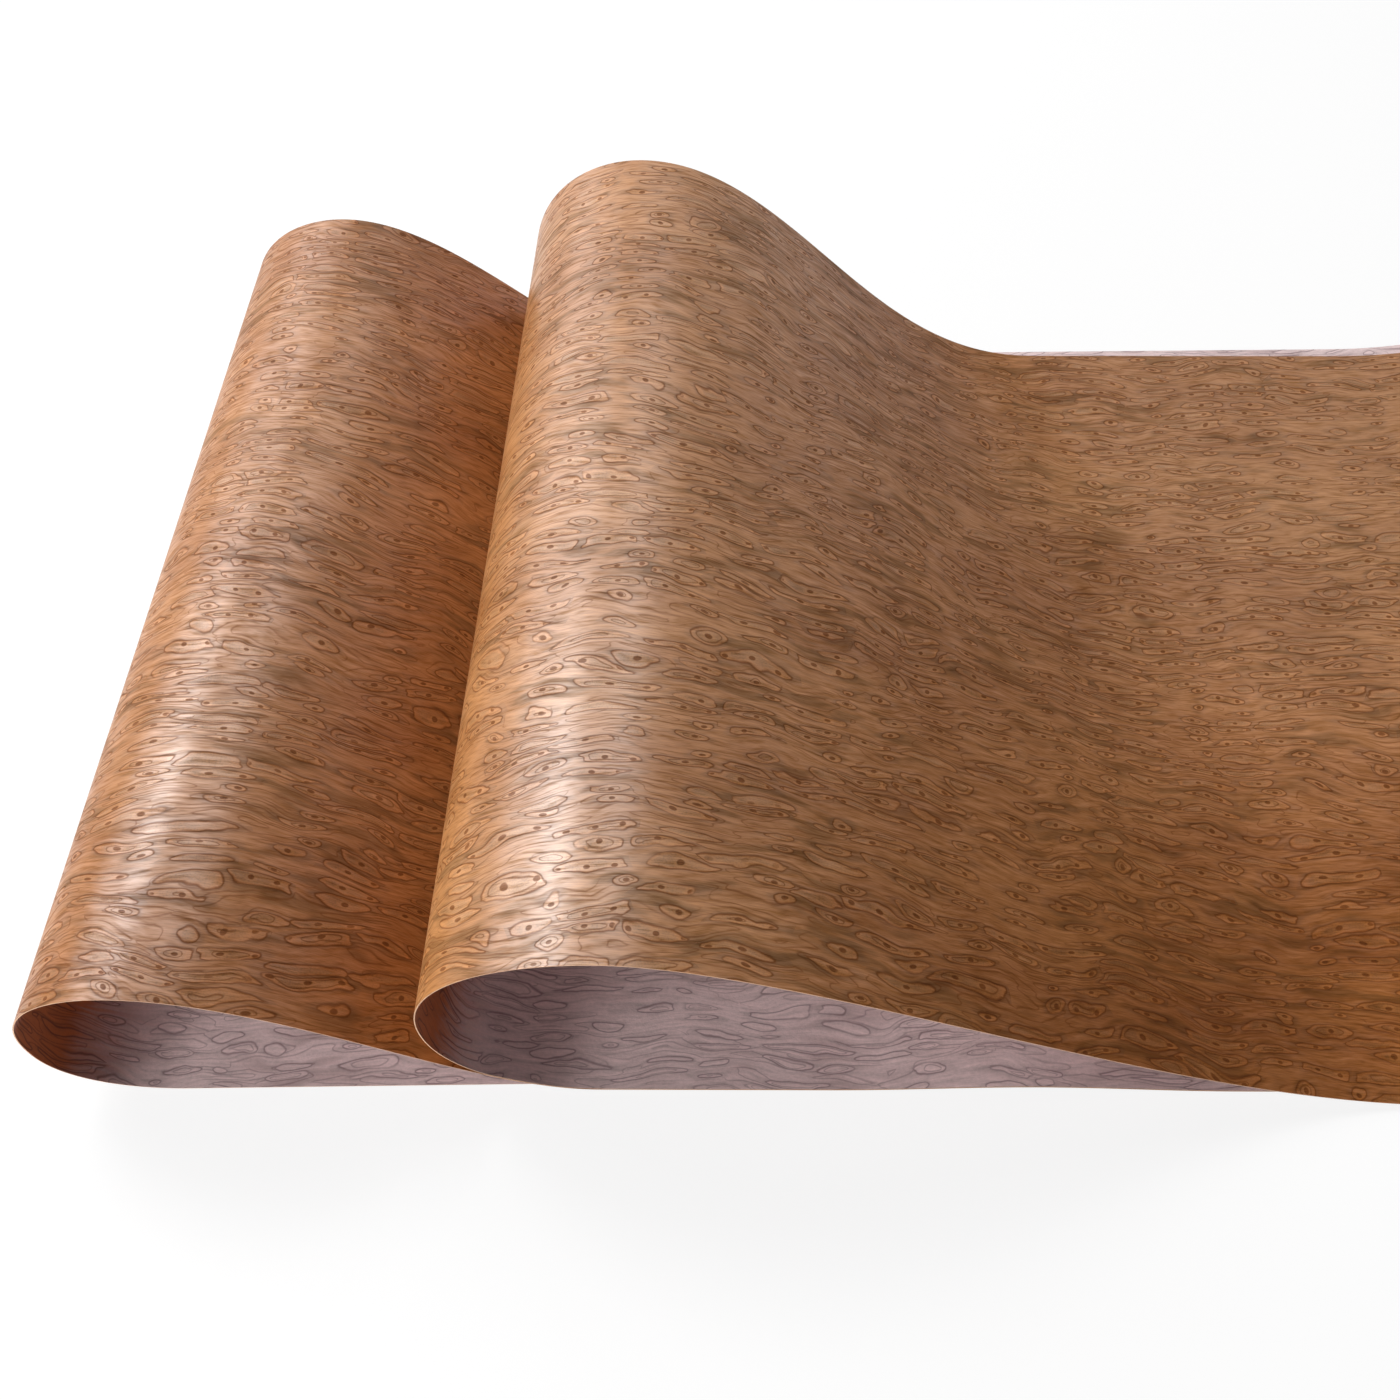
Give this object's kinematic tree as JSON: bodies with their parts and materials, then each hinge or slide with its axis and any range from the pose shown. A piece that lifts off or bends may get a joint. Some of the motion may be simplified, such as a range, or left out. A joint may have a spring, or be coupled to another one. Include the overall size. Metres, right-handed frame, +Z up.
{
  "type": "wood veneer sheet",
  "caption": "Long thin sheet of figured wood veneer, fleece-backed, laid down in a loose zigzag so that it lies over itself in rounded folds.",
  "frame": {"origin": "middle of the laid sheet's footprint, on the floor", "axes": "+X along the grain and the sheet's length, from the two high folds to the low right-hand fold; +Y across the sheet, from its front edge to its back edge; +Z up"},
  "size_m": [1.1026, 0.5942, 0.1743],
  "materials": {
    "veneer": "sanded veneer, satin"
  },
  "bodies": {
    "root": {"veneer_sheet": "veneer"}
  },
  "joints": []
}
